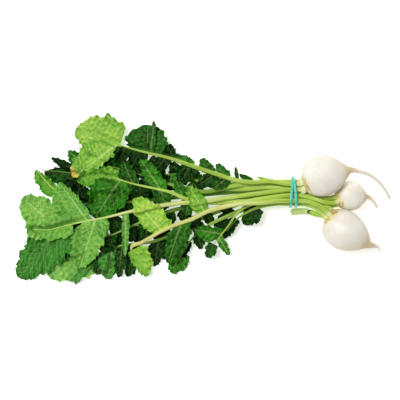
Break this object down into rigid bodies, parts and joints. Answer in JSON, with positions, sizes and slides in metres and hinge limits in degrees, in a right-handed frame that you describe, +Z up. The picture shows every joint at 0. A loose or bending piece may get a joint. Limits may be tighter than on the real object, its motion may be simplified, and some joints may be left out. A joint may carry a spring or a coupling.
{
  "type": "turnip bunch",
  "caption": "Bunch of small white turnips with taproots and long lobed green leaves, tied with a turquoise rubber band, lying on its side.",
  "frame": {"origin": "on the surface that the bunch lies on, under the middle of its outline", "axes": "+Z up, +X along the bunch from the leaves to the roots, +Y to the left of that, towards the raised turnip"},
  "size_m": [0.4331, 0.1972, 0.0559],
  "materials": {
    "root_skin": "smooth, slightly waxy turnip skin",
    "leaf_green": "crinkled leaf with pale veins",
    "stalk_green": "smooth juicy stalk",
    "band_rubber": "smooth rubber"
  },
  "bodies": {
    "root": {"turnip_upper": "root_skin", "turnip_middle": "root_skin", "turnip_lower": "root_skin", "leaf_01": "leaf_green", "leaf_02": "leaf_green", "leaf_03": "leaf_green", "leaf_04": "leaf_green", "leaf_05": "leaf_green", "leaf_06": "leaf_green", "leaf_07": "leaf_green", "leaf_08": "leaf_green", "leaf_09": "leaf_green", "leaf_10": "leaf_green", "leaf_11": "leaf_green", "leaf_12": "leaf_green", "leaf_13": "leaf_green", "broken_stalk": "stalk_green", "rubber_band": "band_rubber"}
  },
  "joints": []
}
